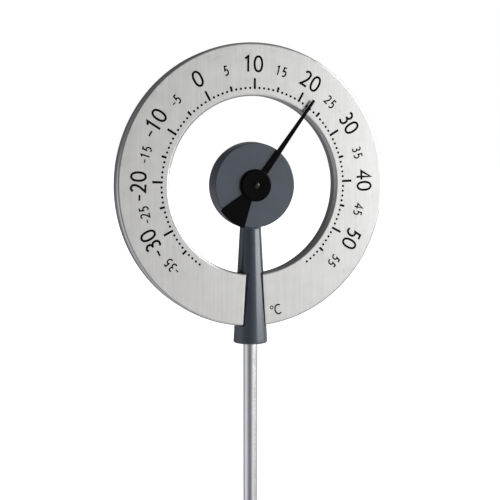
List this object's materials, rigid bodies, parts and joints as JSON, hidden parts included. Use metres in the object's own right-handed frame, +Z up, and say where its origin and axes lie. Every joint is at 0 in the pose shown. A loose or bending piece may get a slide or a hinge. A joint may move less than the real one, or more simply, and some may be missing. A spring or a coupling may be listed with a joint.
{
  "type": "garden stake thermometer",
  "caption": "Garden thermometer on a rod: open dial ring in brushed metal round a grey hub with a black pointer, flared neck, plug-together stake and ground spike.",
  "frame": {"origin": "on the rod's axis at the soil line, which is the underside of the spike's collar", "axes": "+Z up along the rod, the dial faces -Y, +X to the reader's right"},
  "size_m": [0.249, 0.034, 1.0695],
  "materials": {
    "brushed_face": "brushed vertically, printed scale",
    "slate_plastic": "semi-gloss slate grey moulding",
    "dark_plastic": "satin dark grey moulding",
    "black_plastic": "matt black",
    "satin_tube": "satin anodised tube",
    "zinc_steel": "bright zinc-plated steel",
    "brass": "turned and stamped brass",
    "bimetal": "rolled bimetal strip",
    "rubber": "black rubber",
    "tape": "grey foam adhesive tape"
  },
  "bodies": {
    "stake": {"lower_rod": "satin_tube", "rod_joiner": "slate_plastic", "ground_spike": "slate_plastic"},
    "upper_section": {"upper_rod": "satin_tube", "rod_top_plug": "slate_plastic"},
    "head": {"dial_plate": "brushed_face", "dial_tape": "tape", "ring_carrier": "dark_plastic", "front_shell": "slate_plastic", "rear_shell": "slate_plastic", "vent_cover": "slate_plastic", "front_bush": "brass", "rear_bush": "brass", "movement_plate": "brass", "movement_bridge": "brass", "bridge_post_1": "brass", "bridge_post_2": "brass", "bridge_post_3": "brass", "bridge_screw_1": "zinc_steel", "bridge_screw_2": "zinc_steel", "bridge_screw_3": "zinc_steel", "hub_screw_1": "zinc_steel", "hub_screw_2": "zinc_steel", "hub_screw_3": "zinc_steel", "neck_screw_1": "zinc_steel", "neck_screw_2": "zinc_steel", "rod_sleeve": "dark_plastic", "friction_ring": "rubber"},
    "calibration": {"calibration_dial": "brass", "adjuster_washer": "zinc_steel", "regulator_arm": "brass", "coil_anchor_pin": "brass", "bimetal_coil": "bimetal"},
    "pointer": {"pointer": "black_plastic", "pointer_cap": "black_plastic", "arbor": "zinc_steel", "coil_collet": "brass", "arbor_clip": "zinc_steel"}
  },
  "joints": [
    {"name": "section_pull", "type": "slide", "parent": "stake", "child": "upper_section", "axis": [0, 0, 1], "range_m": [0, 0.04]},
    {"name": "head_swivel", "type": "hinge", "parent": "upper_section", "child": "head", "pos_m": [0, 0, 0.6548], "axis": [0, 0, 1], "continuous": true},
    {"name": "calibration_turn", "type": "hinge", "parent": "head", "child": "calibration", "pos_m": [0, 0, 0.795], "axis": [0, 1, 0], "range_deg": [-25, 25]},
    {"name": "pointer_turn", "type": "hinge", "parent": "calibration", "child": "pointer", "pos_m": [0, 0, 0.795], "axis": [0, 1, 0], "range_deg": [-183, 110], "stiffness_Nm_per_rad": 0.002}
  ]
}
